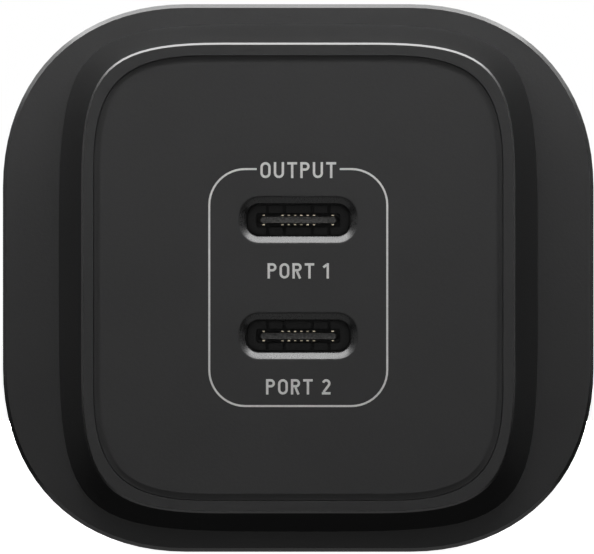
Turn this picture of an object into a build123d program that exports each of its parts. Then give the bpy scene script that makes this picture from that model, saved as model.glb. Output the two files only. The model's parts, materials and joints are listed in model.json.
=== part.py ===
from build123d import *
import os

# A two-port wall charger with a three-pin plug. A shoulder body sits against the wall, and a tapered
# neck on it ends in a rim round an inset port panel.
# X runs to the right seen from the front, Y from the panel towards the wall, Z up. The origin is the
# centre of the wall face: the body lies at negative Y and the plug pins at positive Y. Millimetres.

# Depths, measured back from the wall face
FRONT_Y = -42.0
SHOULDER_Y = -20.0
PARTING_Y = -5.0
WALL = 2.0
COVER_T = 3.0

# Outlines: width, height, how far a corner runs along each side, and how full the corner is
FLANGE = (48.0, 44.5, 14.9, 0.60)
NECK_BASE = (38.9, 41.2, 16.7, 0.92)
NECK_FRONT = (34.5, 37.4, 11.1, 0.82)
RIM_HOLE = (32.6, 35.4, 8.9, 0.74)
PANEL = (31.6, 34.3, 8.8, 0.78)
SHOULDER_EDGE_W = 0.3
SHOULDER_EDGE_D = 0.19
FRONT_EDGE_W = 0.15
FRONT_EDGE_D = 0.095
WALL_EDGE_FILLET = 0.8
PARTING_CHAMFER = 0.15
GAP = 0.05

# Rear cover: its lip in the housing, and a shallow recess in the wall face for a rating label
LIP_L = 3.0
LIP_T = 1.2
RECESS_W = 17.0
RECESS_H = 7.6
RECESS_Z = 6.6
RECESS_R = 1.2
RECESS_DEPTH = 0.2

# Port panel
PANEL_Y = FRONT_Y + 0.05
GROOVE_Y = FRONT_Y + 0.25
SEAT_Y = FRONT_Y + 2.0
PANEL_RIM_T = 0.9
PANEL_RIM_L = 1.5
POST_R = 1.5
POST_HOLE_L = 4.5
PORT_PITCH = 9.24
PORT_X = 0.0
PORT_NAMES = {"upper": PORT_PITCH / 2, "lower": -PORT_PITCH / 2}
MOUTH_W = 8.34
MOUTH_H = 2.58
MOUTH_R = 1.06
BEVEL = 0.56
BEVEL_DEPTH = 0.4

# Receptacles
SHELL_T = 0.3
SHELL_FRONT_Y = FRONT_Y + 0.65
PORT_BOARD_Y = -31.6
PORT_BOARD_T = 1.2
PORT_BOARD_SIZE = (27.0, 30.4)
PORT_BOARD_R = 3.0
INSERT_FRONT_Y = PANEL_Y + 6.45
INSERT_POCKET_Y = INSERT_FRONT_Y + 2.2
INSERT_STEP = 0.13
INSERT_STEP_L = 0.8
POCKET_W = 6.72
POCKET_H = 1.14
POCKET_R = 0.22
TONGUE_W = 6.44
TONGUE_T = 0.66
TONGUE_EDGE_R = 0.28
TONGUE_TIP_Y = -40.95
TIP_W = 5.95
TIP_T = 0.48
TIP_R = 0.235
TIP_L = 0.4
CONTACT_PITCH = 0.5
CONTACT_SLOTS = (1, 4, 5, 6, 7, 8, 9, 12)
CONTACT_SIZE = (0.18, 7.2, 0.08)
PLATE_SIZE = (5.4, 6.4, 0.12)
PLATE_SETBACK = 0.6
INSERT_SLITS = (-2.46, -1.13, 1.13, 2.46)
SLIT_W = 0.26
SLIT_DEPTH = 1.6

# Plug, to the three-pin standard: centres, sections and lengths
PIN_LINE_Z = -6.25
PIN_X = 11.1
PIN_W = 6.35
PIN_H = 4.0
PIN_L = 17.7
EARTH_Z = PIN_LINE_Z + 22.2
EARTH_W = 4.0
EARTH_H = 8.0
EARTH_L = 22.7
SLEEVE_L = 9.2
SLEEVE_T = 0.55
TIP_CHAMFER = 1.1
COLLAR_T = 2.0
COLLAR_W = 7.5
COLLAR_H = 5.0
COLLAR_BACK_Y = -COVER_T - COLLAR_T
TAIL_W = 4.0
TAIL_H = 1.6
EARTH_FOOT_W = 6.4
EARTH_FOOT_DROP = 1.7

# Boards
BOARD_TOP_Z = -12.0
BOARD_T = 1.6
BOARD_FRONT_Y = -30.3
BOARD_BACK_Y = -8.6
BOARD_NECK_W = 27.0
BOARD_WIDE_W = 37.0
BOARD_WIDE_Y = -17.5
ISOLATION_SLOT = (0.4, 1.4, BOARD_FRONT_Y + 2, -24.0)

# Transformer, standing on the main board
CORE_X = -4.0
CORE_Y = -20.6
CORE_SIZE = (18.0, 16.0, 16.5)
CORE_PLATE = 3.5
CORE_LEG = 2.3
CORE_POST_R = 3.5
CORE_FRONT_Y = CORE_Y - CORE_SIZE[1] / 2
BOBBIN_R = 4.4
BOBBIN_FLANGE_R = 6.5
BOBBIN_FLANGE_T = 0.8
WINDING_R = 6.1
TAPE_R = 6.4
PAD_T = 0.5
SPREADER_T = 0.6

# Bulk and output capacitors
BULK_R = 5.0
BULK_L = 24.0
BULK_Z = 11.0
BULK_YS = {"front": -23.6, "rear": -13.4}
CRIMP_DEPTH = 0.5
OUTPUT_R = 3.15
OUTPUT_L = 9.0
OUTPUT_X = 9.6
OUTPUT_YS = (-25.0, -17.8)

# Mains filter
CHOKE_X = 15.9
CHOKE_Y = -13.0
CHOKE_Z = -7.3
CHOKE_R = 3.9
CHOKE_HOLE_R = 2.2
CHOKE_T = 3.4
CHOKE_WIRE = 0.7
FUSE_R = 1.6
FUSE_CAP_R = 1.8
FUSE_CAP_L = 1.6
FUSE_L = 10.0
FUSE_Y = -10.2
BRIDGING_R = 3.5

# Chips under the main board: centre x and y, then width, depth and height
CHIPS = {
    "bridge_rectifier": (5.5, -13.0, 8.0, 7.0, 2.6),
    "power_switch": (-6.0, -20.0, 8.0, 8.0, 1.0),
    "rectifier_switch": (-6.0, -27.0, 6.0, 5.0, 1.0),
    "primary_controller": (5.0, -20.5, 5.0, 4.0, 1.5),
    "optocoupler": (5.0, -27.0, 4.6, 4.2, 2.2),
}
CONTROLLER_SIZE = (5.0, 5.0, 0.9)
INDUCTOR_SIZE = (6.0, 6.0, 1.6)

# Fixings
CARRIER_T = 2.0
CARRIER_BACK_Y = COLLAR_BACK_Y - CARRIER_T
SCREW_R = 0.8
SCREW_HEAD_R = 1.8
SCREW_HEAD_T = 1.1
RECESS_CROSS = (2.0, 0.4)
CARRIER_SCREW_L = 5.0
CARRIER_BOSS_R = 2.4
BOARD_SCREW_L = 4.0
BOARD_SCREW_HEAD_R = 1.35
BOARD_SCREW_HEAD_T = 0.6
SCREW_XS = (-12.5, 12.5)
SCREW_Z = 7.0
POSTS = [(x, z) for x in (-11.0, 11.0) for z in (-9.8, 12.6)]
LINK_XS = [-6.35 + 2.54 * step for step in range(6)]
LINK_W = 0.64
CONTACT_STRIP_W = 3.0
CONTACT_STRIP_T = 0.4


# Shapes

def outline(width, height, reach, fullness):
    """A rounded rectangle in the XY plane whose four corners are one cubic curve each."""
    half_w = width / 2
    half_h = height / 2
    pull = reach * (1 - fullness)
    corners = []
    for sx, sy in ((1, 1), (-1, 1), (-1, -1), (1, -1)):
        corner = [
            (sx * half_w, sy * (half_h - reach)),
            (sx * half_w, sy * (half_h - pull)),
            (sx * (half_w - pull), sy * half_h),
            (sx * (half_w - reach), sy * half_h),
        ]
        corners.append(corner if sx * sy > 0 else corner[::-1])
    edges = []
    for corner, following in zip(corners, corners[1:] + corners[:1]):
        edges.append(Bezier(*corner).edge())
        edges.append(Line(corner[-1], following[0]).edge())
    return Face(Wire(edges))


def inset(shape, amount):
    """The same outline moved inwards."""
    width, height, reach, fullness = shape
    return (width - 2 * amount, height - 2 * amount, reach - 0.6 * amount, fullness)


def mouth(growth=0.0):
    """The outline of a port's mouth, or the same outline moved outwards."""
    return rounded(MOUTH_W + 2 * growth, MOUTH_H + 2 * growth, MOUTH_R + growth)


def rounded(width, height, radius):
    return RectangleRounded(width, height, radius).face()


def facing_front(y, x=0.0, z=0.0):
    """A plane at depth y whose normal points out of the front."""
    return Plane(origin=(x, y, z), x_dir=(1, 0, 0), z_dir=(0, -1, 0))


def prism(face, back_y, front_y, x=0.0, z=0.0):
    return extrude(facing_front(back_y, x, z) * face, back_y - front_y)


def block(x0, x1, y0, y1, z0, z1):
    """A box given by its limits along each axis."""
    centre = ((x0 + x1) / 2, (y0 + y1) / 2, (z0 + z1) / 2)
    return Pos(*centre) * Box(x1 - x0, y1 - y0, z1 - z0)


def slab(x, y, z, width, depth, height):
    """A box standing on z, centred on x and y."""
    return block(x - width / 2, x + width / 2, y - depth / 2, y + depth / 2, z, z + height)


def bar(x, z, width, height, y0, y1):
    """A box from depth y0 to y1, centred on x and z."""
    return block(x - width / 2, x + width / 2, y0, y1, z - height / 2, z + height / 2)


def rod_y(x, z, radius, y0, y1):
    return Pos(x, (y0 + y1) / 2, z) * Rot(90, 0, 0) * Cylinder(radius, abs(y1 - y0))


def rod_x(y, z, radius, x0, x1):
    return Pos((x0 + x1) / 2, y, z) * Rot(0, 90, 0) * Cylinder(radius, abs(x1 - x0))


def rod_z(x, y, radius, z0, z1):
    return Pos(x, y, (z0 + z1) / 2) * Cylinder(radius, abs(z1 - z0))


def tube_z(x, y, outer, inner, z0, z1):
    return rod_z(x, y, outer, z0, z1) - rod_z(x, y, inner, z0 - 1, z1 + 1)


def front_edges(solid):
    return solid.faces().sort_by(Axis.Y)[0].outer_wire().edges()


def back_edges(solid):
    return solid.faces().sort_by(Axis.Y)[-1].outer_wire().edges()


def group(shapes):
    """Several separate solids in one node."""
    return Compound(children=[shape.solid() for shape in shapes])


# Casing

def section_at(shape, y):
    return facing_front(y) * outline(*shape)


def bevelled_end(shape, back_y, amount, front_y):
    """The end of a moulding, whose outline narrows by an amount between two depths."""
    return loft([section_at(shape, back_y), section_at(inset(shape, amount), front_y)], ruled=True)


def housing():
    """The shoulder and neck in one moulding, open at the back and at the panel's seat."""
    flange_y = SHOULDER_Y + SHOULDER_EDGE_D
    flange = chamfer(back_edges(prism(outline(*FLANGE), PARTING_Y, flange_y)), PARTING_CHAMFER)
    flange += bevelled_end(FLANGE, flange_y, SHOULDER_EDGE_W, SHOULDER_Y)
    neck_y = FRONT_Y + FRONT_EDGE_D
    neck = loft([section_at(NECK_BASE, SHOULDER_Y), section_at(NECK_FRONT, neck_y)], ruled=True)
    neck += bevelled_end(NECK_FRONT, neck_y, FRONT_EDGE_W, FRONT_Y)
    inner_y = SHOULDER_Y + WALL
    cavity = loft(
        [section_at(inset(NECK_BASE, WALL), inner_y + 1), section_at(inset(NECK_FRONT, WALL), SEAT_Y)],
        ruled=True,
    )
    shell = flange + neck
    shell -= prism(outline(*inset(FLANGE, WALL)), PARTING_Y, inner_y)
    shell -= cavity
    return shell - prism(outline(*RIM_HOLE), SEAT_Y, FRONT_Y)


def rear_cover():
    """The plate against the wall, with the lip that locates it in the housing and the pins' holes."""
    plate = prism(outline(*FLANGE), 0, PARTING_Y)
    plate = fillet(back_edges(plate), WALL_EDGE_FILLET)
    plate = chamfer(front_edges(plate), PARTING_CHAMFER)
    lip = inset(FLANGE, WALL + GAP)
    lip_y = PARTING_Y - LIP_L
    cover = plate + prism(outline(*lip), PARTING_Y, lip_y)
    cover -= prism(outline(*inset(lip, LIP_T)), -COVER_T, lip_y)
    for x in SCREW_XS:
        cover += rod_y(x, SCREW_Z, CARRIER_BOSS_R, -COVER_T, PARTING_Y)
        cover -= rod_y(x, SCREW_Z, SCREW_R, -COVER_T + 1, PARTING_Y)
    for x in (-PIN_X, PIN_X):
        cover -= bar(x, PIN_LINE_Z, PIN_W, PIN_H, -COVER_T, 0)
    cover -= bar(0, EARTH_Z, EARTH_W, EARTH_H, -COVER_T, 0)
    cover -= prism(rounded(RECESS_W, RECESS_H, RECESS_R), 0, -RECESS_DEPTH, 0, RECESS_Z)
    notch_top = EARTH_Z + EARTH_H / 2 + 0.2
    return cover - block(-4, 4, lip_y, -COVER_T, EARTH_Z, notch_top)


def port_opening(z):
    """What a port takes out of the panel: its bevel, and a pocket for the front of the shell."""
    bevel_back_y = PANEL_Y + BEVEL_DEPTH
    pocket_y = SHELL_FRONT_Y - GAP
    wide = facing_front(PANEL_Y, PORT_X, z) * mouth(BEVEL)
    narrow = facing_front(bevel_back_y, PORT_X, z) * mouth()
    opening = loft([narrow, wide], ruled=True) + prism(mouth(), pocket_y, bevel_back_y, PORT_X, z)
    return opening + prism(mouth(SHELL_T + GAP), SEAT_Y, pocket_y, PORT_X, z)


def front_panel():
    """The inset panel, its two bevelled port openings, its rear rim and the posts behind it."""
    panel = prism(outline(*inset(RIM_HOLE, GAP)), SEAT_Y, GROOVE_Y)
    panel += prism(outline(*PANEL), GROOVE_Y, PANEL_Y)
    rim = inset(NECK_FRONT, WALL + 0.25)
    rim_y = SEAT_Y + PANEL_RIM_L
    panel += prism(outline(*rim), rim_y, SEAT_Y) - prism(outline(*inset(rim, PANEL_RIM_T)), rim_y, SEAT_Y)
    for x, z in POSTS:
        panel += rod_y(x, z, POST_R, SEAT_Y, PORT_BOARD_Y)
        panel -= rod_y(x, z, SCREW_R, PORT_BOARD_Y - POST_HOLE_L, PORT_BOARD_Y)
    for z in PORT_NAMES.values():
        panel -= port_opening(z)
    return panel


# Receptacles

def port_shell(z):
    """The steel tube round a port, from the panel back to the port board."""
    tube = prism(mouth(SHELL_T), PORT_BOARD_Y, SHELL_FRONT_Y, PORT_X, z)
    return tube - prism(mouth(), PORT_BOARD_Y, SHELL_FRONT_Y, PORT_X, z)


def port_plate(z):
    """The steel plate down the middle of a tongue."""
    width, length, thickness = PLATE_SIZE
    front_y = TONGUE_TIP_Y + PLATE_SETBACK
    return bar(PORT_X, z, width, thickness, front_y, front_y + length)


def port_tongue(z):
    """The tongue, whose front end narrows to a small rounded face."""
    section = rounded(TONGUE_W, TONGUE_T, TONGUE_EDGE_R)
    narrow_y = TONGUE_TIP_Y + TIP_L
    tip = loft(
        [
            facing_front(narrow_y, PORT_X, z) * section,
            facing_front(TONGUE_TIP_Y, PORT_X, z) * rounded(TIP_W, TIP_T, TIP_R),
        ],
        ruled=True,
    )
    return tip + prism(section, INSERT_POCKET_Y, narrow_y, PORT_X, z)


def port_insert(z):
    """The moulding that fills the back of a shell, with a stepped front and a pocket for the tongue."""
    step_y = INSERT_FRONT_Y + INSERT_STEP_L
    insert = prism(mouth(), PORT_BOARD_Y, step_y, PORT_X, z)
    insert += prism(mouth(-INSERT_STEP), step_y, INSERT_FRONT_Y, PORT_X, z)
    insert -= prism(rounded(POCKET_W, POCKET_H, POCKET_R), INSERT_POCKET_Y, INSERT_FRONT_Y, PORT_X, z)
    slit_h = (MOUTH_H - POCKET_H) / 2
    for side in (-1, 1):
        slit_z = z + side * (POCKET_H + slit_h) / 2
        for x in INSERT_SLITS:
            insert -= bar(x, slit_z, SLIT_W, slit_h, INSERT_FRONT_Y, INSERT_FRONT_Y + SLIT_DEPTH)
    return insert + port_tongue(z) - port_plate(z)


def port_contacts(z):
    """The contact strips above and below a tongue."""
    width, length, thickness = CONTACT_SIZE
    front_y = TONGUE_TIP_Y + TIP_L
    strips = []
    for slot in CONTACT_SLOTS:
        x = PORT_X + (slot - 6.5) * CONTACT_PITCH
        for side in (-1, 1):
            strip_z = z + side * (TONGUE_T + thickness) / 2
            strips.append(bar(x, strip_z, width, thickness, front_y, front_y + length))
    return group(strips)


# Plug

def pin_tip(x, z, width, height, y0, y1):
    tip = bar(x, z, width, height, y0, y1)
    return chamfer(tip.faces().sort_by(Axis.Y)[-1].edges(), TIP_CHAMFER)


def sleeve_core(x):
    """The thinner part of a power pin, inside its sleeve."""
    return bar(x, PIN_LINE_Z, PIN_W - 2 * SLEEVE_T, PIN_H - 2 * SLEEVE_T, -COVER_T, SLEEVE_L)


def power_pin(x):
    """A brass blade, thinner where the sleeve goes round it, with a collar and a tail inside."""
    pin = pin_tip(x, PIN_LINE_Z, PIN_W, PIN_H, SLEEVE_L, PIN_L) + sleeve_core(x)
    pin += bar(x, PIN_LINE_Z, COLLAR_W, COLLAR_H, COLLAR_BACK_Y, -COVER_T)
    return pin + bar(x, PIN_LINE_Z, TAIL_W, TAIL_H, BOARD_BACK_Y, COLLAR_BACK_Y)


def pin_sleeve(x):
    return bar(x, PIN_LINE_Z, PIN_W, PIN_H, -COVER_T, SLEEVE_L) - sleeve_core(x)


def earth_pin():
    """The plastic pin that opens the socket's shutters, with its foot behind the cover."""
    pin = pin_tip(0, EARTH_Z, EARTH_W, EARTH_H, -COVER_T, EARTH_L)
    top = EARTH_Z + EARTH_H / 2
    half_w = EARTH_FOOT_W / 2
    foot = block(-half_w, half_w, COLLAR_BACK_Y, -COVER_T, EARTH_Z - EARTH_H / 2 - EARTH_FOOT_DROP, top)
    return pin + foot


def pin_carrier():
    """The bracket that clamps the pins' collars to the cover."""
    carrier = block(-16, 16, CARRIER_BACK_Y, COLLAR_BACK_Y, -11, 11)
    carrier += block(-7, 7, CARRIER_BACK_Y, COLLAR_BACK_Y, 11, 17)
    for x in (-PIN_X, PIN_X):
        carrier -= bar(x, PIN_LINE_Z, TAIL_W, TAIL_H, CARRIER_BACK_Y, COLLAR_BACK_Y)
    for x in SCREW_XS:
        carrier -= rod_y(x, SCREW_Z, SCREW_R + 0.2, CARRIER_BACK_Y, COLLAR_BACK_Y)
    return carrier - block(-5, 5, CARRIER_BACK_Y, COLLAR_BACK_Y, -8, 3)


def carrier_screw(x):
    """A pan-head screw with a cross recess, through the carrier into the cover."""
    head_y = CARRIER_BACK_Y - SCREW_HEAD_T
    body = rod_y(x, SCREW_Z, SCREW_HEAD_R, head_y, CARRIER_BACK_Y)
    body += rod_y(x, SCREW_Z, SCREW_R, CARRIER_BACK_Y, CARRIER_BACK_Y + CARRIER_SCREW_L)
    for width, height in (RECESS_CROSS, RECESS_CROSS[::-1]):
        body -= bar(x, SCREW_Z, width, height, head_y, head_y + SCREW_HEAD_T / 2)
    return body


def mains_contact(x):
    """A brass strip from a pin's tail down to the main board."""
    upright_y = BOARD_BACK_Y - CONTACT_STRIP_T
    half_w = CONTACT_STRIP_W / 2
    upright = block(x - half_w, x + half_w, upright_y, BOARD_BACK_Y, BOARD_TOP_Z, PIN_LINE_Z + TAIL_H)
    return upright + slab(x, upright_y - 1, BOARD_TOP_Z, CONTACT_STRIP_W, 2.0, CONTACT_STRIP_T)


# Boards and what is on them

def main_board():
    under = BOARD_TOP_Z - BOARD_T
    half_neck = BOARD_NECK_W / 2
    half_wide = BOARD_WIDE_W / 2
    board = block(-half_neck, half_neck, BOARD_FRONT_Y, BOARD_BACK_Y, under, BOARD_TOP_Z)
    board += block(-half_wide, half_wide, BOARD_WIDE_Y, BOARD_BACK_Y, under, BOARD_TOP_Z)
    return board - block(*ISOLATION_SLOT, under, BOARD_TOP_Z)


def link_pin(x):
    """One pin of the row that joins the two boards."""
    return bar(x, BOARD_TOP_Z + LINK_W / 2, LINK_W, LINK_W, PORT_BOARD_Y - 0.8, CORE_FRONT_Y)


def port_board():
    back_y = PORT_BOARD_Y + PORT_BOARD_T
    board = prism(rounded(*PORT_BOARD_SIZE, PORT_BOARD_R), back_y, PORT_BOARD_Y)
    for x, z in POSTS:
        board -= rod_y(x, z, SCREW_R + 0.15, PORT_BOARD_Y, back_y)
    for x in LINK_XS:
        board -= link_pin(x)
    return board


def port_board_screw(x, z):
    """A small screw through the port board into a panel post."""
    back_y = PORT_BOARD_Y + PORT_BOARD_T
    head = rod_y(x, z, BOARD_SCREW_HEAD_R, back_y, back_y + BOARD_SCREW_HEAD_T)
    return head + rod_y(x, z, SCREW_R, back_y - BOARD_SCREW_L, back_y)


def core_half(z0, z1, plate_z):
    """One half of the ferrite core: a plate, two side legs and half of the middle post."""
    width, depth, _ = CORE_SIZE
    half = slab(CORE_X, CORE_Y, plate_z, width, depth, CORE_PLATE)
    for side in (-1, 1):
        half += slab(CORE_X + side * (width - CORE_LEG) / 2, CORE_Y, z0, CORE_LEG, depth, z1 - z0)
    return half + rod_z(CORE_X, CORE_Y, CORE_POST_R, z0, z1)


def transformer_core():
    top = BOARD_TOP_Z + CORE_SIZE[2]
    middle = (BOARD_TOP_Z + top) / 2
    return group([core_half(BOARD_TOP_Z, middle, BOARD_TOP_Z), core_half(middle, top, top - CORE_PLATE)])


def window():
    """The height left for the windings between the core's plates."""
    return BOARD_TOP_Z + CORE_PLATE, BOARD_TOP_Z + CORE_SIZE[2] - CORE_PLATE


def transformer_bobbin():
    low, high = window()
    bobbin = tube_z(CORE_X, CORE_Y, BOBBIN_R, CORE_POST_R, low, high)
    for z in (low, high - BOBBIN_FLANGE_T):
        bobbin += tube_z(CORE_X, CORE_Y, BOBBIN_FLANGE_R, CORE_POST_R, z, z + BOBBIN_FLANGE_T)
    return bobbin


def transformer_layer(outer, inner):
    low, high = window()
    return tube_z(CORE_X, CORE_Y, outer, inner, low + BOBBIN_FLANGE_T, high - BOBBIN_FLANGE_T)


def on_core(x_margin, y0, y1, z, thickness):
    """A sheet lying over the transformer core, at height z."""
    half_w = CORE_SIZE[0] / 2 + x_margin
    return block(CORE_X - half_w, CORE_X + half_w, y0, y1, z, z + thickness)


def bulk_capacitor(y):
    """An aluminium can lying across the charger, with its crimp near the bung."""
    half = BULK_L / 2
    can = fillet(rod_x(y, BULK_Z, BULK_R, -half, half).edges(), 0.6)
    crimp = rod_x(y, BULK_Z, BULK_R + 1, half - 3, half - 2)
    return can - (crimp - rod_x(y, BULK_Z, BULK_R - CRIMP_DEPTH, half - 4, half - 1))


def output_capacitor(y):
    can = rod_z(OUTPUT_X, y, OUTPUT_R, BOARD_TOP_Z, BOARD_TOP_Z + OUTPUT_L)
    return fillet(can.edges().sort_by(Axis.Z)[-1:], 0.4)


def choke_place():
    return Pos(CHOKE_X, CHOKE_Y, CHOKE_Z) * Rot(0, 90, 0)


def choke_core():
    return choke_place() * (Cylinder(CHOKE_R, CHOKE_T) - Cylinder(CHOKE_HOLE_R, CHOKE_T + 1))


def choke_windings():
    """Two coils wound on opposite sides of the ring."""
    wire = CHOKE_WIRE
    ring = Cylinder(CHOKE_R + wire, CHOKE_T + 2 * wire) - Cylinder(CHOKE_HOLE_R - wire, CHOKE_T + 3)
    ring -= Cylinder(CHOKE_R, CHOKE_T) - Cylinder(CHOKE_HOLE_R, CHOKE_T)
    gap = Box(2.4, 3 * CHOKE_R, CHOKE_T + 3)
    return group((choke_place() * (ring - gap)).solids())


def suppression_capacitor():
    return block(-19, -13.2, -17.2, -9.4, BOARD_TOP_Z, -1)


def bridging_capacitor():
    """A ceramic disc across the isolation gap, behind the transformer."""
    return rod_y(0, -2, BRIDGING_R, -12, -9.2)


def fuse():
    """A glass fuse with its two metal end caps, across the back of the board."""
    z = BOARD_TOP_Z + FUSE_CAP_R + 0.4
    half = FUSE_L / 2
    body = rod_x(FUSE_Y, z, FUSE_R, -half, half)
    for x0, x1 in ((-half, -half + FUSE_CAP_L), (half - FUSE_CAP_L, half)):
        body += rod_x(FUSE_Y, z, FUSE_CAP_R, x0, x1)
    return body


def chip(x, y, width, depth, height):
    """A package under the main board."""
    return slab(x, y, BOARD_TOP_Z - BOARD_T - height, width, depth, height)


def rear_chip(x, z, width, height, thickness):
    """A package on the back of the port board."""
    y = PORT_BOARD_Y + PORT_BOARD_T
    return bar(x, z, width, height, y, y + thickness)


core_top = BOARD_TOP_Z + CORE_SIZE[2]
nodes = {
    "housing": housing(),
    "rear_cover": rear_cover(),
    "front_panel": front_panel(),
    "line_pin": power_pin(PIN_X),
    "neutral_pin": power_pin(-PIN_X),
    "line_pin_sleeve": pin_sleeve(PIN_X),
    "neutral_pin_sleeve": pin_sleeve(-PIN_X),
    "earth_pin": earth_pin(),
    "pin_carrier": pin_carrier(),
    "carrier_screws": group([carrier_screw(x) for x in SCREW_XS]),
    "line_contact": mains_contact(PIN_X),
    "neutral_contact": mains_contact(-PIN_X),
    "main_board": main_board(),
    "port_board": port_board(),
    "board_link_pins": group([link_pin(x) for x in LINK_XS]),
    "port_board_screws": group([port_board_screw(x, z) for x, z in POSTS]),
    "transformer_core": transformer_core(),
    "transformer_bobbin": transformer_bobbin(),
    "transformer_winding": transformer_layer(WINDING_R, BOBBIN_R),
    "transformer_tape": transformer_layer(TAPE_R, WINDING_R),
    "thermal_pad": on_core(-1, -28, -13.4, core_top, PAD_T),
    "heat_spreader": block(-13, 13, -28.5, -10, core_top + PAD_T, core_top + PAD_T + SPREADER_T),
    "output_capacitors": group([output_capacitor(y) for y in OUTPUT_YS]),
    "choke_core": choke_core(),
    "choke_windings": choke_windings(),
    "suppression_capacitor": suppression_capacitor(),
    "bridging_capacitor": bridging_capacitor(),
    "fuse": fuse(),
    "charge_controllers": group([rear_chip(0, z, *CONTROLLER_SIZE) for z in (5, -5)]),
    "buck_inductors": group([rear_chip(x, 0, *INDUCTOR_SIZE) for x in (-8, 8)]),
    "insulation_sheet": block(-10, 10, -29, -9, -16.8, -16.5),
}
for name, y in BULK_YS.items():
    nodes[f"bulk_capacitor_{name}"] = bulk_capacitor(y)
for name, sizes in CHIPS.items():
    nodes[name] = chip(*sizes)
for name, z in PORT_NAMES.items():
    nodes[f"port_shell_{name}"] = port_shell(z)
    nodes[f"port_insert_{name}"] = port_insert(z)
    nodes[f"port_plate_{name}"] = port_plate(z)
    nodes[f"port_contacts_{name}"] = port_contacts(z)

os.makedirs("parts", exist_ok=True)
for name, shape in nodes.items():
    export_step(shape, f"parts/{name}.step")
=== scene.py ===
import json
import math

import bmesh
import bpy
import numpy as np
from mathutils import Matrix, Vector
from mathutils.geometry import tessellate_polygon

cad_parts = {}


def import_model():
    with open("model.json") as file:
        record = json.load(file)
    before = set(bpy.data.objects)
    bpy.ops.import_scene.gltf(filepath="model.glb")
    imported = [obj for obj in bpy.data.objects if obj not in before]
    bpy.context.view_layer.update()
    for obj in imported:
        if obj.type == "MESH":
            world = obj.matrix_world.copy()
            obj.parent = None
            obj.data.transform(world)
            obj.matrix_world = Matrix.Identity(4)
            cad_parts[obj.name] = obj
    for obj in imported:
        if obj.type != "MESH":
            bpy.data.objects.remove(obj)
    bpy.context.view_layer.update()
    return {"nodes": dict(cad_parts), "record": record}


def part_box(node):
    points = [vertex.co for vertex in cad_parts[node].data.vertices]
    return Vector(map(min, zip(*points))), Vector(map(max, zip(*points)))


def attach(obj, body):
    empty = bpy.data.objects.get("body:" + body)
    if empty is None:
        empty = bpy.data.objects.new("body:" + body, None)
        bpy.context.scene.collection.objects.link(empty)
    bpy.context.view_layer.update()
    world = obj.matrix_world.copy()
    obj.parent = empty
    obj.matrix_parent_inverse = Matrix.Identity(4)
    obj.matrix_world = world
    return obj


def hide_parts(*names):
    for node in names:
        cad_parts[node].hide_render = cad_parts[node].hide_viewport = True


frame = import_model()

# A two-port wall charger with a three-pin plug. The casing, the panel and the print are built here on
# the CAD model's sizes. The other CAD nodes stay and get their materials.
# X runs to the right seen from the front, Y towards the wall, Z up. Blender's lengths are metres. The
# sizes here are millimetres, unless a comment says otherwise, and MM turns them into metres.

MM = 0.001
MICRON = 0.000001
PANEL_LOW, PANEL_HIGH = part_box("front_panel")
HOUSING_LOW, HOUSING_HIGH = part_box("housing")

# Depths along Y, from the CAD boxes and back from the rim's front
FRONT_Y = HOUSING_LOW.y / MM
PARTING_Y = HOUSING_HIGH.y / MM
PANEL_Y = PANEL_LOW.y / MM
SHOULDER_Y = FRONT_Y + 22.0
SEAT_Y = FRONT_Y + 2.0
GROOVE_Y = FRONT_Y + 0.25
SHELL_FRONT_Y = FRONT_Y + 0.65
PORT_BOARD_Y = PANEL_HIGH.y / MM
TONGUE_TIP_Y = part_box("port_insert_upper")[0].y / MM

# Casing and panel outlines: width, height, how far a corner runs along each side, and its fullness.
# An inset outline's corners run less far, by this share of the inset.
FLANGE = (48.0, 44.5, 14.9, 0.60)
NECK_BASE = (38.9, 41.2, 16.7, 0.92)
NECK_FRONT = (34.5, 37.4, 11.1, 0.82)
RIM_HOLE = (32.6, 35.4, 8.9, 0.74)
PANEL = (31.6, 34.3, 8.8, 0.78)
INSET_REACH = 0.6

# The walls, the gap left between fitted parts, and how far the hollow's taper starts behind its step
WALL = 2.0
GAP = 0.05
TAPER_START = 1.0

# Bevels on the shoulder's and the rim's front edges: how far they run inwards and back
SHOULDER_EDGE_W = 0.3
SHOULDER_EDGE_D = 0.19
FRONT_EDGE_W = 0.15
FRONT_EDGE_D = 0.095
PARTING_CHAMFER = 0.15

# Port openings: the mouth, the bevel round it and the radius of the bevel's edges
PORT_ZS = (4.62, -4.62)
MOUTH_W = 8.34
MOUTH_H = 2.58
MOUTH_R = 1.06
BEVEL = 0.56
BEVEL_DEPTH = 0.4
EDGE_R = 0.07
SHELL_T = 0.3

# Behind the panel: the rim that locates it in the neck, and four posts with screw holes
PANEL_RIM_GAP = 0.25
PANEL_RIM_T = 0.9
PANEL_RIM_L = 1.5
POSTS = [(x, z) for x in (-11.0, 11.0) for z in (-9.8, 12.6)]
POST_R = 1.5
SCREW_R = 0.8
POST_HOLE_L = 4.5

# Mesh: divisions of a corner, a straight side, the neck's length and a rounded edge, a narrow strip
# beside each edge that keeps the flat faces' shading even, and the angle from which an edge is sharp
CORNER_STEPS = 20
SIDE_STEPS = 6
WALL_STEPS = 8
EDGE_STEPS = 3
MARGIN = 0.15
SHARP_ANGLE = 30.0

# CAD parts whose edges are softened, with the width
SOFT_EDGES = {
    "line_pin": 0.1,
    "neutral_pin": 0.1,
    "earth_pin": 0.12,
    "line_pin_sleeve": 0.08,
    "neutral_pin_sleeve": 0.08,
    "rear_cover": 0.08,
}


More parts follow.
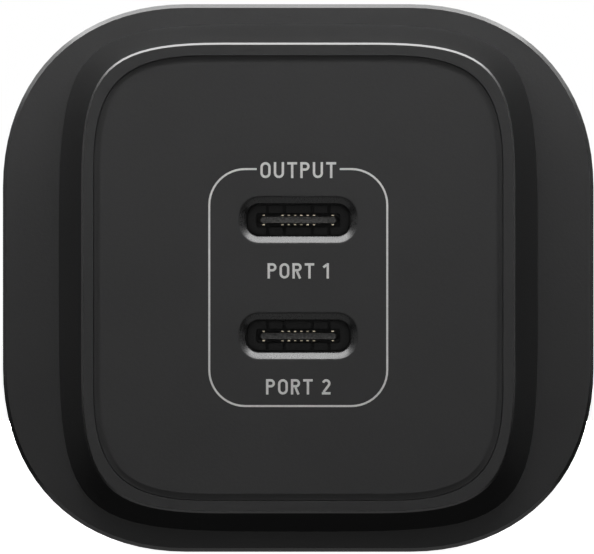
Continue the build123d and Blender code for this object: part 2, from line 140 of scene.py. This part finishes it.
# Looks: the casing's black, the insert's black and the painted highlight on its tongue's tip, and a
# metal's grain, which along a brushed axis is this share as fine
CASING = (0.020, 0.020, 0.0203)
INSERT_DARK = (0.024, 0.024, 0.024)
INSERT_LIGHT = (0.034, 0.034, 0.034)
# The painted highlight on the tongue's tip: its colours, and how far back from the tip it fades
TIP_HIGHLIGHT_DARK = (0.035, 0.035, 0.034)
TIP_HIGHLIGHT_LIGHT = (0.125, 0.122, 0.118)
TIP_HIGHLIGHT_L = 0.5
METAL_GRAIN = 2500.0
BRUSHED_SHARE = 0.04


# Materials

class Nodes:
    """Builds a node tree with short calls."""

    def __init__(self, tree):
        self.tree = tree
        tree.nodes.clear()

    def add(self, kind, **values):
        node = self.tree.nodes.new(kind)
        for name, value in values.items():
            if name in node.inputs:
                node.inputs[name].default_value = value
            else:
                setattr(node, name, value)
        return node

    def link(self, source, target):
        self.tree.links.new(source, target)


def new_material(name):
    material = bpy.data.materials.new(name)
    material.use_nodes = True
    return material, Nodes(material.node_tree)


def finish_material(nodes, shader):
    output = nodes.add("ShaderNodeOutputMaterial")
    nodes.link(shader.outputs[0], output.inputs["Surface"])


def shade(colour, factor):
    """A darker or lighter shade of a colour."""
    return tuple(min(1.0, channel * factor) for channel in colour)


def object_noise(nodes, scale, detail=2.0, roughness=0.5):
    """Noise in the object's own metres, so that its grain has a real size."""
    coords = nodes.add("ShaderNodeTexCoord")
    noise = nodes.add("ShaderNodeTexNoise", Scale=scale, Detail=detail, Roughness=roughness)
    nodes.link(coords.outputs["Object"], noise.inputs["Vector"])
    return noise.outputs["Fac"]


def ramp(nodes, factor, low, high, start=0.3, end=0.7):
    """Maps a factor to a value or colour between low and high."""
    node = nodes.add("ShaderNodeMapRange")
    if not isinstance(low, float):
        node.data_type = "FLOAT_VECTOR"
        sockets = {socket.identifier: socket for socket in node.inputs}
        nodes.link(factor, sockets["Vector"])
        names = ("From_Min_FLOAT3", "From_Max_FLOAT3", "To_Min_FLOAT3", "To_Max_FLOAT3")
        for name, value in zip(names, ((start,) * 3, (end,) * 3, low, high)):
            sockets[name].default_value = value
        return node.outputs["Vector"]
    nodes.link(factor, node.inputs["Value"])
    for name, value in (("From Min", start), ("From Max", end), ("To Min", low), ("To Max", high)):
        node.inputs[name].default_value = value
    return node.outputs["Result"]


def bump(nodes, layers):
    """Stacks bumps: each layer is a height socket, its strength and its depth in microns."""
    normal = None
    for height, strength, depth in layers:
        node = nodes.add("ShaderNodeBump", Strength=strength, Distance=depth * MICRON)
        nodes.link(height, node.inputs["Height"])
        if normal is not None:
            nodes.link(normal, node.inputs["Normal"])
        normal = node.outputs["Normal"]
    return normal


def moulded_plastic(name, colour, roughness, grain=9000.0, depth=12.0, specular=0.5):
    """Dark plastic with the fine sparked texture of its mould, as deep as given in microns."""
    material, nodes = new_material(name)
    shader = nodes.add("ShaderNodeBsdfPrincipled")
    shader.inputs["Specular IOR Level"].default_value = specular
    fine = object_noise(nodes, grain, 3.0, 0.6)
    coarse = object_noise(nodes, grain * 0.4, 2.0)
    broad = object_noise(nodes, 140.0, 2.0)
    nodes.link(ramp(nodes, broad, shade(colour, 0.93), shade(colour, 1.07)), shader.inputs["Base Color"])
    nodes.link(ramp(nodes, fine, roughness * 0.9, roughness * 1.1), shader.inputs["Roughness"])
    nodes.link(bump(nodes, [(coarse, 0.5, depth * 1.5), (fine, 0.35, depth)]), shader.inputs["Normal"])
    finish_material(nodes, shader)
    return material


def metal(name, colour, roughness, brushed_axis=None):
    """Metal with a fine grain, drawn out along one axis where it is brushed, and faint handling marks."""
    material, nodes = new_material(name)
    shader = nodes.add("ShaderNodeBsdfPrincipled", Metallic=1.0)
    coords = nodes.add("ShaderNodeTexCoord")
    stretch = nodes.add("ShaderNodeMapping")
    scale = [METAL_GRAIN] * 3
    if brushed_axis is not None:
        scale[brushed_axis] *= BRUSHED_SHARE
    stretch.inputs["Scale"].default_value = scale
    nodes.link(coords.outputs["Object"], stretch.inputs["Vector"])
    noise = nodes.add("ShaderNodeTexNoise", Scale=1.0, Detail=3.0)
    nodes.link(stretch.outputs["Vector"], noise.inputs["Vector"])
    brushing = noise.outputs["Fac"]
    marks = object_noise(nodes, 320.0, 4.0)
    nodes.link(ramp(nodes, marks, shade(colour, 0.92), colour), shader.inputs["Base Color"])
    nodes.link(ramp(nodes, brushing, roughness * 0.8, roughness * 1.3), shader.inputs["Roughness"])
    nodes.link(bump(nodes, [(brushing, 0.1, 3.0)]), shader.inputs["Normal"])
    finish_material(nodes, shader)
    return material


def speckled(name, colour, spread, roughness, grain):
    """A simple part's finish: its colour varies a little at the grain's scale, with a light bump."""
    material, nodes = new_material(name)
    shader = nodes.add("ShaderNodeBsdfPrincipled")
    noise = object_noise(nodes, grain, 3.0)
    colours = ramp(nodes, noise, shade(colour, 1 - spread), shade(colour, 1 + spread))
    nodes.link(colours, shader.inputs["Base Color"])
    nodes.link(ramp(nodes, noise, roughness * 0.9, roughness * 1.1), shader.inputs["Roughness"])
    nodes.link(bump(nodes, [(noise, 0.2, 10.0)]), shader.inputs["Normal"])
    finish_material(nodes, shader)
    return material


def insert_plastic():
    """The ports' black moulding. The tip of its tongue is painted paler, as a painted highlight."""
    material, nodes = new_material("insert_plastic")
    shader = nodes.add("ShaderNodeBsdfPrincipled", Roughness=0.5)
    coords = nodes.add("ShaderNodeTexCoord")
    depth = nodes.add("ShaderNodeSeparateXYZ")
    nodes.link(coords.outputs["Object"], depth.inputs[0])
    # The tongue's last half millimetre is painted paler: a painted highlight on its tip
    tip_highlight_share = ramp(nodes, depth.outputs["Y"], 1.0, 0.0, TONGUE_TIP_Y * MM, (TONGUE_TIP_Y + TIP_HIGHLIGHT_L) * MM)
    grain = object_noise(nodes, 5200.0, 3.0, 0.6)
    black = ramp(nodes, grain, INSERT_DARK, INSERT_LIGHT)
    tip_highlight = ramp(nodes, grain, TIP_HIGHLIGHT_DARK, TIP_HIGHLIGHT_LIGHT)
    mix = nodes.add("ShaderNodeMix", data_type="RGBA")
    nodes.link(tip_highlight_share, mix.inputs["Factor"])
    nodes.link(black, mix.inputs[6])
    nodes.link(tip_highlight, mix.inputs[7])
    nodes.link(mix.outputs[2], shader.inputs["Base Color"])
    nodes.link(bump(nodes, [(grain, 0.35, 12.0)]), shader.inputs["Normal"])
    finish_material(nodes, shader)
    return material


materials = {
    "casing_plastic": moulded_plastic("casing_plastic", CASING, 0.5),
    "cover_plastic": moulded_plastic("cover_plastic", CASING, 0.5),
    "panel_plastic": moulded_plastic("panel_plastic", CASING, 0.5, 11000.0, 9.0),
    "earth_plastic": moulded_plastic("earth_plastic", (0.016, 0.016, 0.0165), 0.4, 6000.0),
    "pin_nickel": metal("pin_nickel", (0.72, 0.70, 0.67), 0.42, 1),
    "sleeve_plastic": moulded_plastic("sleeve_plastic", (0.012, 0.012, 0.0125), 0.3, 5000.0, 4.0),
    "carrier_plastic": speckled("carrier_plastic", (0.52, 0.50, 0.44), 0.06, 0.5, 900.0),
    "screw_steel": metal("screw_steel", (0.58, 0.58, 0.58), 0.35),
    "contact_brass": metal("contact_brass", (0.78, 0.60, 0.30), 0.3, 2),
    "board_laminate": speckled("board_laminate", (0.02, 0.10, 0.045), 0.2, 0.4, 1500.0),
    "ferrite": speckled("ferrite", (0.05, 0.05, 0.055), 0.2, 0.6, 4000.0),
    "bobbin_plastic": speckled("bobbin_plastic", (0.02, 0.02, 0.02), 0.1, 0.35, 2000.0),
    "winding_copper": metal("winding_copper", (0.72, 0.32, 0.16), 0.3, 0),
    "winding_tape": speckled("winding_tape", (0.78, 0.58, 0.08), 0.06, 0.3, 700.0),
    "pad_rubber": speckled("pad_rubber", (0.40, 0.48, 0.58), 0.05, 0.7, 3000.0),
    "spreader_aluminium": metal("spreader_aluminium", (0.78, 0.78, 0.78), 0.3, 0),
    "capacitor_can": speckled("capacitor_can", (0.05, 0.05, 0.07), 0.1, 0.3, 800.0),
    "film_yellow": speckled("film_yellow", (0.82, 0.60, 0.10), 0.05, 0.35, 900.0),
    "disc_blue": speckled("disc_blue", (0.08, 0.20, 0.55), 0.08, 0.3, 900.0),
    "fuse_glass": speckled("fuse_glass", (0.75, 0.80, 0.80), 0.05, 0.1, 500.0),
    "chip_epoxy": speckled("chip_epoxy", (0.02, 0.02, 0.02), 0.15, 0.55, 5000.0),
    "inductor_grey": speckled("inductor_grey", (0.16, 0.16, 0.17), 0.2, 0.6, 4000.0),
    "sheet_paper": speckled("sheet_paper", (0.55, 0.58, 0.55), 0.06, 0.8, 2000.0),
    "shell_steel": metal("shell_steel", (0.10, 0.10, 0.10), 0.4, 1),
    "insert_plastic": insert_plastic(),
    "contact_gold": metal("contact_gold", (0.50, 0.45, 0.34), 0.35, 1),
}
# The port bevels and the casing's edges come from polished parts of the mould
BEVEL_FINISH = moulded_plastic("bevel_finish", CASING, 0.28, 9000.0, 0.8, 0.66)
EDGE_FINISH = moulded_plastic("edge_finish", CASING, 0.22, 9000.0, 0.5, 1.0)
INK = speckled("print_ink", (0.62, 0.62, 0.61), 0.06, 0.55, 6000.0)

for part in frame["record"]["subparts"]:
    mesh = frame["nodes"][part["node"]].data
    mesh.materials.clear()
    mesh.materials.append(materials[part["material_slot"]])


def soften_edges(node, width):
    """Softens the sharp edges of a CAD part by modifiers, which leave its mesh as it is."""
    piece = frame["nodes"][node]
    weld = piece.modifiers.new("weld", "WELD")
    weld.merge_threshold = 0.001 * MM
    edges = piece.modifiers.new("soft_edges", "BEVEL")
    edges.width = width * MM
    edges.segments = 3
    edges.limit_method = "ANGLE"
    edges.angle_limit = math.radians(SHARP_ANGLE)
    edges.harden_normals = True
    even = piece.modifiers.new("even_normals", "WEIGHTED_NORMAL")
    even.keep_sharp = True


for node, width in SOFT_EDGES.items():
    soften_edges(node, width)


# Outlines, and skins built from closed loops of points

# How far a cubic curve's handles reach towards the corner of the quarter circle that it stands for
ARC_HANDLE = 0.5523


def turned_loop(corner):
    """A whole outline from its upper right corner's points, with points along the straight sides too."""
    mirrored = corner[::-1]
    corners = (corner, mirrored * (-1, 1), corner * (-1, -1), mirrored * (1, -1))
    points = []
    for current, following in zip(corners, corners[1:] + corners[:1]):
        points.extend(current)
        start = current[-1]
        end = following[0]
        for step in range(1, SIDE_STEPS):
            points.append(start + (end - start) * step / SIDE_STEPS)
    return np.array(points)


def bezier_weights(t):
    """The shares of a cubic curve's four control points, part of the way along it."""
    return (1 - t) ** 3, 3 * t * (1 - t) ** 2, 3 * t * t * (1 - t), t ** 3


def outline(width, height, reach, fullness):
    """A rounded rectangle whose four corners are one cubic curve each, as X and Z."""
    half_w = width / 2
    half_h = height / 2
    pull = reach * (1 - fullness)
    controls = np.array((
        (half_w, half_h - reach),
        (half_w, half_h - pull),
        (half_w - pull, half_h),
        (half_w - reach, half_h),
    ))
    t = np.linspace(0, 1, CORNER_STEPS + 1)[:, None]
    return turned_loop(sum(weight * control for weight, control in zip(bezier_weights(t), controls)))


def rounded(width, height, radius):
    """A rectangle with round corners, as X and Z."""
    angles = np.linspace(0, math.pi / 2, CORNER_STEPS + 1)
    centre = np.array((width / 2 - radius, height / 2 - radius))
    corner = centre + radius * np.stack((np.cos(angles), np.sin(angles)), 1)
    return turned_loop(corner)


def circle(radius):
    """A rounded square whose straight sides are next to nothing."""
    return rounded(2 * radius, 2 * radius, radius * 0.999)


def inwards(points, amount):
    """An outline moved inwards along its own normals."""
    along = np.roll(points, -1, 0) - np.roll(points, 1, 0)
    normals = np.stack((along[:, 1], -along[:, 0]), 1)
    normals /= np.linalg.norm(normals, axis=1)[:, None]
    return points - normals * amount


def inset(shape, amount):
    """A smaller outline of the same kind, as the CAD model's inner walls have."""
    width, height, reach, fullness = shape
    return (width - 2 * amount, height - 2 * amount, reach - INSET_REACH * amount, fullness)


def at(points, y, x=0.0, z=0.0):
    """An outline placed at a depth."""
    return np.column_stack((points[:, 0] + x, np.full(len(points), y), points[:, 1] + z))


def round_over(start, corner, end):
    """The loops of a rounded edge between two loops that meet at a corner loop."""
    first = start + (corner - start) * ARC_HANDLE
    second = end + (corner - end) * ARC_HANDLE
    loops = []
    for step in range(EDGE_STEPS + 1):
        weights = bezier_weights(step / EDGE_STEPS)
        loops.append(sum(weight * loop for weight, loop in zip(weights, (start, first, second, end))))
    return loops


class Skin:
    """Gathers loops of points and the faces between them. Lengths are millimetres."""

    def __init__(self):
        self.points = []
        self.faces = []
        self.slots = []

    def add(self, loop):
        first = len(self.points)
        self.points.extend(loop)
        return list(range(first, len(self.points)))

    def run(self, loops, closed=False, slot=0, polished=()):
        """Joins loops in order and returns the first and last as indices. Polished strips get slot 1."""
        rows = [self.add(loop) for loop in loops]
        pairs = list(zip(rows, rows[1:]))
        if closed:
            pairs.append((rows[-1], rows[0]))
        for strip, (first, second) in enumerate(pairs):
            self.join(first, second, 1 if strip in polished else slot)
        return rows[0], rows[-1]

    def join(self, first, second, slot=0):
        """Adds the strip of faces between two loops, given as indices."""
        count = len(first)
        for i in range(count):
            j = (i + 1) % count
            self.faces.append((first[i], first[j], second[j], second[i]))
            self.slots.append(slot)

    def cap(self, loop):
        """Closes a loop with one face."""
        self.faces.append(tuple(loop))
        self.slots.append(0)

    def fill(self, *loops):
        """Covers the flat area inside the first loop, apart from the others, which are holes."""
        order = [index for loop in loops for index in loop]
        flat = [[Vector((self.points[i][0], self.points[i][2], 0)) for i in loop] for loop in loops]
        for corners in tessellate_polygon(flat):
            self.faces.append(tuple(order[corner] for corner in corners))
            self.slots.append(0)

    def piece(self, name, *surfaces):
        """Makes the object, with its materials in the order of their slots."""
        data = bpy.data.meshes.new(name)
        data.from_pydata([Vector(point) * MM for point in self.points], [], self.faces)
        for polygon, slot in zip(data.polygons, self.slots):
            polygon.material_index = slot
        mesh = bmesh.new()
        mesh.from_mesh(data)
        bmesh.ops.recalc_face_normals(mesh, faces=mesh.faces)
        mesh.to_mesh(data)
        mesh.free()
        for surface in surfaces:
            data.materials.append(surface)
        data.shade_smooth()
        data.set_sharp_from_angle(angle=math.radians(SHARP_ANGLE))
        made = bpy.data.objects.new(name, data)
        bpy.context.scene.collection.objects.link(made)
        even = made.modifiers.new("even_normals", "WEIGHTED_NORMAL")
        even.keep_sharp = True
        return made


# Casing and panel

def casing():
    """The shoulder and the tapered neck, with bevelled front edges, and the hollow inside."""
    flange = outline(*FLANGE)
    base = outline(*NECK_BASE)
    front = outline(*NECK_FRONT)
    hole = outline(*RIM_HOLE)
    inner_flange = outline(*inset(FLANGE, WALL))
    inner_y = SHOULDER_Y + WALL

    def wall(y):
        share = (SHOULDER_Y - y) / (SHOULDER_Y - FRONT_Y)
        return at(base * (1 - share) + front * share, y)

    def inner_wall(y):
        start_y = inner_y + TAPER_START
        share = (start_y - y) / (start_y - SEAT_Y)
        wide = outline(*inset(NECK_BASE, WALL))
        narrow = outline(*inset(NECK_FRONT, WALL))
        return at(wide * (1 - share) + narrow * share, y)

    loops = [at(inwards(flange, PARTING_CHAMFER), PARTING_Y), at(flange, PARTING_Y - PARTING_CHAMFER)]
    polished = [len(loops)]
    loops += [at(flange, SHOULDER_Y + SHOULDER_EDGE_D), at(inwards(flange, SHOULDER_EDGE_W), SHOULDER_Y)]
    neck_y = FRONT_Y + FRONT_EDGE_D
    for step in range(WALL_STEPS):
        loops.append(wall(SHOULDER_Y + (neck_y - SHOULDER_Y) * step / WALL_STEPS))
    polished.append(len(loops))
    loops += [wall(neck_y), at(inwards(front, FRONT_EDGE_W), FRONT_Y)]
    loops += [at(inwards(hole, -MARGIN), FRONT_Y), at(hole, FRONT_Y)]
    loops += [at(hole, SEAT_Y), inner_wall(SEAT_Y), inner_wall(inner_y), at(inner_flange, inner_y)]
    loops.append(at(inner_flange, PARTING_Y))
    skin = Skin()
    skin.run(loops, closed=True, polished=polished)
    return skin.piece("casing", materials["casing_plastic"], EDGE_FINISH)


def panel():
    """The inset panel with its stepped edge and two bevelled openings, and the posts behind it."""
    skin = Skin()
    step = outline(*inset(RIM_HOLE, GAP))
    face = outline(*PANEL)
    loops = [at(step, SEAT_Y), at(step, GROOVE_Y), at(face, GROOVE_Y), at(face, PANEL_Y)]
    loops.append(at(inwards(face, MARGIN), PANEL_Y))
    back, front = skin.run(loops)
    openings = []
    for z in PORT_ZS:
        openings.append(port_opening(skin, z))
    skin.fill(front, *[opening[0] for opening in openings])
    skin.fill(back, *[opening[1] for opening in openings])
    for x, z in POSTS:
        post(skin, x, z)
    rim_shape = inset(NECK_FRONT, WALL + PANEL_RIM_GAP)
    rim = outline(*rim_shape)
    rim_inner = outline(*inset(rim_shape, PANEL_RIM_T))
    rim_y = SEAT_Y + PANEL_RIM_L
    skin.run([at(rim, SEAT_Y), at(rim, rim_y), at(rim_inner, rim_y), at(rim_inner, SEAT_Y)], closed=True)
    return skin.piece("panel", materials["panel_plastic"], BEVEL_FINISH)


def port_opening(skin, z):
    """A bevelled opening: returns its outermost loops on the panel's front and back."""
    mouth = rounded(MOUTH_W, MOUTH_H, MOUTH_R)
    wide = inwards(mouth, -BEVEL)
    bevel_back_y = PANEL_Y + BEVEL_DEPTH

    def slope(amount):
        return at(inwards(mouth, -BEVEL + amount), PANEL_Y + amount * BEVEL_DEPTH / BEVEL, 0, z)

    def face(amount):
        return at(inwards(wide, -amount), PANEL_Y, 0, z)

    edge = round_over(face(EDGE_R), face(0), slope(EDGE_R * 0.7))
    inner = round_over(slope(BEVEL - EDGE_R), slope(BEVEL), at(mouth, bevel_back_y + EDGE_R / 2, 0, z))
    front, lip = skin.run([face(EDGE_R + MARGIN)] + edge)
    start, throat = skin.run(inner, slot=1)
    skin.join(lip, start, slot=1)
    pocket = inwards(mouth, -SHELL_T - GAP)
    step_start, back = skin.run([at(pocket, SHELL_FRONT_Y, 0, z), at(pocket, SEAT_Y, 0, z)])
    skin.join(throat, step_start)
    return front, back


def post(skin, x, z):
    """A post with a blind pilot hole for a screw."""
    outer = circle(POST_R)
    hole = circle(SCREW_R)
    hole_y = PORT_BOARD_Y - POST_HOLE_L
    sides = [at(outer, SEAT_Y, x, z), at(outer, PORT_BOARD_Y, x, z)]
    hole_sides = [at(hole, PORT_BOARD_Y, x, z), at(hole, hole_y, x, z)]
    foot, bottom = skin.run(sides + hole_sides)
    skin.fill(foot)
    skin.fill(bottom)


built = (
    (casing(), "housing", "casing_plastic"),
    (panel(), "front_panel", "panel_plastic"),
)
for piece, node, slot in built:
    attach(piece, "root")
    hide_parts(node)


# Print on the panel: a rounded frame round both ports, open at its top for a word, and the ports' names.
# Each word has its text, the height of its capitals and the place of its middle. A letter's width and
# the gap between letters are shares of the capitals' height.

PRINT_T = 0.012
FRAME_W = 14.15
FRAME_H = 18.84
FRAME_Z = -0.76
FRAME_R = 2.86
FRAME_LINE = 0.155
FRAME_GAP = 6.6
STROKE = 0.19
ARC_STEPS = 12
LETTER_GAP = 0.2
LETTER_W = {"O": 0.64, "U": 0.64, "T": 0.62, "P": 0.58, "R": 0.6, "1": 0.36, "2": 0.56, " ": 0.2}
WORDS = {
    "print_output": ("OUTPUT", 1.27, 8.58),
    "print_port_1": ("PORT 1", 1.22, 0.57),
    "print_port_2": ("PORT 2", 1.22, -8.65),
}


def arc(x, z, radius, start, end):
    """Points round part of a circle, between two angles in degrees."""
    angles = [math.radians(start + (end - start) * step / ARC_STEPS) for step in range(ARC_STEPS + 1)]
    return [(x + radius * math.cos(angle), z + radius * math.sin(angle)) for angle in angles]


def letter(sign, cap):
    """A letter's width and its pen strokes, from its lower left corner. Its proportions are given."""
    width = LETTER_W[sign] * cap
    half = STROKE / 2
    right = width - half
    top = cap - half
    middle = width / 2
    round_r = middle - half
    bowl_r = (cap * 0.54 - STROKE) / 2
    stem = [(half, 0), (half, cap)]
    belly = arc(right - bowl_r, top - bowl_r, bowl_r, 90, -90)
    bowl = [(STROKE, top)] + belly + [(STROKE, top - 2 * bowl_r)]
    lower_arc = arc(middle, half + round_r, round_r, 180, 360)
    strokes = {
        " ": [],
        "O": [arc(middle, top - round_r, round_r, 0, 180) + lower_arc + [(right, top - round_r)]],
        "U": [[(half, cap)] + lower_arc + [(right, cap)]],
        "T": [[(0, top), (width, top)], [(middle, 0), (middle, cap - STROKE)]],
        "P": [stem, bowl],
        "R": [stem, bowl, [(middle, top - 2 * bowl_r - half), (right - half * 0.3, 0)]],
        "1": [[(right, 0), (right, cap)], [(0, cap * 0.72), (right - half, cap - half * 1.3)]],
        "2": [
            arc(middle, top - round_r, round_r, 165, -35) + [(half * 1.4, STROKE)],
            [(0, half), (width, half)],
        ],
    }
    return width, strokes[sign]


def word_strokes(word, cap, z):
    """The strokes of a word centred on the panel at a height."""
    strokes = []
    x = 0.0
    for sign in word:
        width, lines = letter(sign, cap)
        strokes += [[(x + point[0], z - cap / 2 + point[1]) for point in line] for line in lines]
        x += width + LETTER_GAP * cap
    shift = (x - LETTER_GAP * cap) / 2
    return [[(point[0] - shift, point[1]) for point in line] for line in strokes]


def frame_stroke():
    """The frame's centre line, from one side of the gap round to the other."""
    half_w = FRAME_W / 2 - FRAME_R
    half_h = FRAME_H / 2 - FRAME_R
    top = FRAME_Z + half_h + FRAME_R
    points = [(FRAME_GAP / 2, top)]
    for quarter, (sx, sz) in enumerate(((1, 1), (1, -1), (-1, -1), (-1, 1))):
        start = 90 - 90 * quarter
        points += arc(sx * half_w, FRAME_Z + sz * half_h, FRAME_R, start, start - 90)
    return points + [(-FRAME_GAP / 2, top)]


def printed(name, strokes, width):
    """Thin flat ink along pen strokes, lying on the panel's face."""
    skin = Skin()
    for stroke in strokes:
        flat = np.array(stroke)
        before = np.vstack((flat[:1], flat[:-1]))
        after = np.vstack((flat[1:], flat[-1:]))
        along = after - before
        along /= np.linalg.norm(along, axis=1)[:, None]
        across = np.stack((-along[:, 1], along[:, 0]), 1) * width / 2
        rings = []
        for left, right in zip(flat + across, flat - across):
            ink_y = PANEL_Y - PRINT_T
            corners = ((left, ink_y), (right, ink_y), (right, PANEL_Y), (left, PANEL_Y))
            rings.append([np.array((point[0], y, point[1])) for point, y in corners])
        start, end = skin.run(rings)
        skin.cap(start)
        skin.cap(end)
    return skin.piece(name, INK)


prints = [printed("print_frame", [frame_stroke()], FRAME_LINE)]
for name, (word, cap, z) in WORDS.items():
    prints.append(printed(name, word_strokes(word, cap, z), STROKE))
for piece in prints:
    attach(piece, "root")


# Floor, light and camera, with places and sizes in metres

FLOOR_SIZE = 6.0
FLOOR_Z = HOUSING_LOW.z
FLOOR_GLOW = 0.99
FILL = 0.007
# The camera's distance from the rim, its place across it, the width that it sees there, and its sensor's
# width in millimetres
CAMERA_DISTANCE = 1.0
CAMERA_X = -0.1 * MM
CAMERA_Z = 0.08 * MM
SEEN_W = 47.22 * MM
SENSOR_W = 36.0
# Lights: name, place, width, height and power. Each faces a point near the panel, and paired ones stand
# on both sides. The back light leaves no highlight, so that the matt cover doesn't glare.
LIGHT_AIM = Vector((0, -0.04, 0))
LIGHTS = (
    ("top_light", (0, -0.08, 0.13), 0.20, 0.07, 0.206),
    ("near_top_light", (0, -0.075, 0.075), 0.16, 0.03, 0.056),
    ("front_light", (0, -1.3, 0.02), 0.30, 0.30, 1.1),
    ("front_top_light", (0, -0.9, 0.45), 0.80, 0.50, 0.21),
    ("low_light", (0, -0.13, -0.25), 0.60, 0.12, 0.085),
    ("back_light", (0, 0.9, 0), 0.36, 0.13, 9.0),
    ("back_glow", (0, 0.9, 0.01), 0.36, 0.11, 0.9),
)
NO_HIGHLIGHT = ("back_light",)
PAIRED_LIGHTS = (
    ("top_side_light", (0.12, -0.07, 0.12), 0.08, 0.10, 0.046),
    ("side_light", (0.45, -0.35, 0.15), 0.30, 0.40, 0.137),
)


def floor():
    """A plain white floor that neither lights the object nor hides it from the lights."""
    bpy.ops.mesh.primitive_plane_add(size=FLOOR_SIZE, location=(0, 0, FLOOR_Z))
    plane = bpy.context.object
    plane.name = "floor"
    material, nodes = new_material("floor_white")
    diffuse = nodes.add("ShaderNodeBsdfDiffuse", Color=(0.8, 0.8, 0.8, 1))
    glow = nodes.add("ShaderNodeEmission", Color=(1, 1, 1, 1), Strength=FLOOR_GLOW)
    both = nodes.add("ShaderNodeAddShader")
    nodes.link(diffuse.outputs[0], both.inputs[0])
    nodes.link(glow.outputs[0], both.inputs[1])
    finish_material(nodes, both)
    plane.data.materials.append(material)
    plane.visible_diffuse = False
    plane.visible_glossy = False
    plane.visible_shadow = False


def softbox(name, location, width, height, power):
    """A soft rectangular light, which the camera doesn't see."""
    light = bpy.data.lights.new(name, "AREA")
    light.shape = "RECTANGLE"
    light.size = width
    light.size_y = height
    light.energy = power
    lamp = bpy.data.objects.new(name, light)
    lamp.location = location
    lamp.rotation_euler = (LIGHT_AIM - Vector(location)).to_track_quat("-Z", "Y").to_euler()
    lamp.visible_camera = False
    lamp.visible_glossy = name not in NO_HIGHLIGHT
    bpy.context.scene.collection.objects.link(lamp)


def world():
    """White to the camera, and a dim even grey as light."""
    scene_world = bpy.data.worlds.new("studio")
    scene_world.use_nodes = True
    nodes = Nodes(scene_world.node_tree)
    path = nodes.add("ShaderNodeLightPath")
    seen = nodes.add("ShaderNodeBackground", Color=(1, 1, 1, 1), Strength=1.0)
    fill = nodes.add("ShaderNodeBackground", Color=(1, 1, 1, 1), Strength=FILL)
    mix = nodes.add("ShaderNodeMixShader")
    output = nodes.add("ShaderNodeOutputWorld")
    nodes.link(path.outputs["Is Camera Ray"], mix.inputs["Fac"])
    nodes.link(fill.outputs[0], mix.inputs[1])
    nodes.link(seen.outputs[0], mix.inputs[2])
    nodes.link(mix.outputs[0], output.inputs["Surface"])
    bpy.context.scene.world = scene_world


def camera():
    """A long lens straight in front of the panel."""
    data = bpy.data.cameras.new("camera")
    data.sensor_width = SENSOR_W
    data.lens = SENSOR_W * CAMERA_DISTANCE / SEEN_W
    data.clip_end = 20.0
    lens = bpy.data.objects.new("camera", data)
    lens.location = (CAMERA_X, FRONT_Y * MM - CAMERA_DISTANCE, CAMERA_Z)
    lens.rotation_euler = (math.pi / 2, 0, 0)
    bpy.context.scene.collection.objects.link(lens)
    bpy.context.scene.camera = lens


floor()
for name, location, width, height, power in LIGHTS:
    softbox(name, location, width, height, power)
for side in (-1, 1):
    for name, (x, y, z), width, height, power in PAIRED_LIGHTS:
        softbox(f"{name}_{side:+d}", (side * x, y, z), width, height, power)
world()
camera()
bpy.context.scene.view_settings.view_transform = "Standard"
